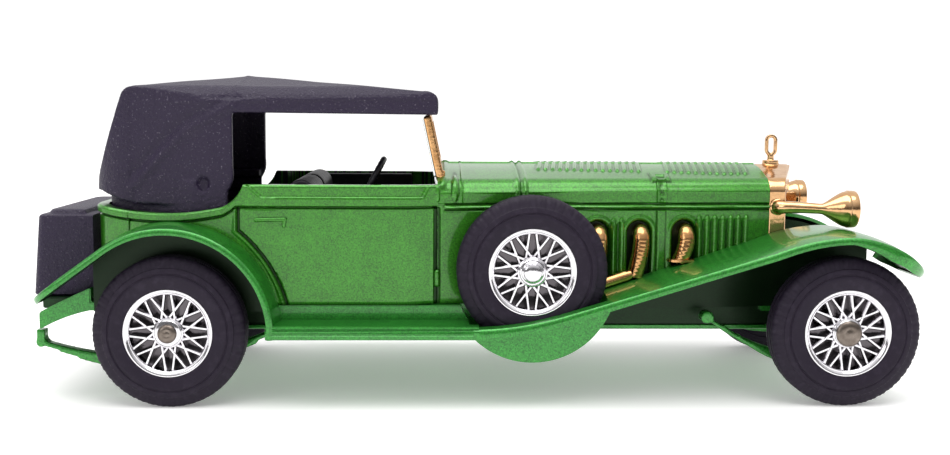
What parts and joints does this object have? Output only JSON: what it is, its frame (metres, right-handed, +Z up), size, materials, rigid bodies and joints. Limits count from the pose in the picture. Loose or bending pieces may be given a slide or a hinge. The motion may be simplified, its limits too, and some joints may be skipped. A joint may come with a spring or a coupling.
{
  "type": "diecast collector car",
  "caption": "Small diecast open tourer with long louvred bonnet, raised hood, sweeping wings, side-mounted spares and free-rolling plated wheels.",
  "frame": {"origin": "on the ground under the middle of the overall length and width", "axes": "+X forward, +Y to the car's left, +Z up"},
  "size_m": [0.1022, 0.038, 0.037],
  "materials": {
    "metallic_lime_paint": "metallic gloss",
    "metallic_green_paint": "metallic gloss",
    "gold_plating": "bright gold plating",
    "chrome_plating": "bright plating",
    "clear_plastic": "clear",
    "black_plastic": "satin",
    "grained_black_plastic": "grained",
    "tyre_rubber": "matte",
    "steel": "drawn bar, spun heads"
  },
  "bodies": {
    "car": {"body_shell": "metallic_lime_paint", "chassis_wings": "metallic_green_paint", "base_plate": "metallic_green_paint", "radiator_shell": "gold_plating", "headlamp_right": "gold_plating", "headlamp_left": "gold_plating", "exhaust_pipes": "gold_plating", "windscreen_frame": "gold_plating", "windscreen_glass": "clear_plastic", "interior_tub": "black_plastic", "dashboard": "black_plastic", "steering_wheel": "black_plastic", "hood_top": "grained_black_plastic", "luggage_trunk": "black_plastic", "spare_wheel_right": "chrome_plating", "spare_wheel_left": "chrome_plating", "spare_tyre_right": "tyre_rubber", "spare_tyre_left": "tyre_rubber"},
    "front_axle": {"front_axle": "steel"},
    "rear_axle": {"rear_axle": "steel"},
    "wheel_front_right": {"wheel_front_right": "chrome_plating", "tyre_front_right": "tyre_rubber"},
    "wheel_front_left": {"wheel_front_left": "chrome_plating", "tyre_front_left": "tyre_rubber"},
    "wheel_rear_right": {"wheel_rear_right": "chrome_plating", "tyre_rear_right": "tyre_rubber"},
    "wheel_rear_left": {"wheel_rear_left": "chrome_plating", "tyre_rear_left": "tyre_rubber"}
  },
  "joints": [
    {"name": "front_axle_spin", "type": "hinge", "parent": "car", "child": "front_axle", "pos_m": [0.0415, 0, 0.00845], "axis": [0, 1, 0], "continuous": true},
    {"name": "wheel_front_right_spin", "type": "hinge", "parent": "front_axle", "child": "wheel_front_right", "pos_m": [0.0415, -0.0158, 0.00845], "axis": [0, 1, 0], "continuous": true},
    {"name": "wheel_front_left_spin", "type": "hinge", "parent": "front_axle", "child": "wheel_front_left", "pos_m": [0.0415, 0.0158, 0.00845], "axis": [0, 1, 0], "continuous": true},
    {"name": "rear_axle_spin", "type": "hinge", "parent": "car", "child": "rear_axle", "pos_m": [-0.0341, 0, 0.00845], "axis": [0, 1, 0], "continuous": true},
    {"name": "wheel_rear_right_spin", "type": "hinge", "parent": "rear_axle", "child": "wheel_rear_right", "pos_m": [-0.0341, -0.0158, 0.00845], "axis": [0, 1, 0], "continuous": true},
    {"name": "wheel_rear_left_spin", "type": "hinge", "parent": "rear_axle", "child": "wheel_rear_left", "pos_m": [-0.0341, 0.0158, 0.00845], "axis": [0, 1, 0], "continuous": true}
  ]
}
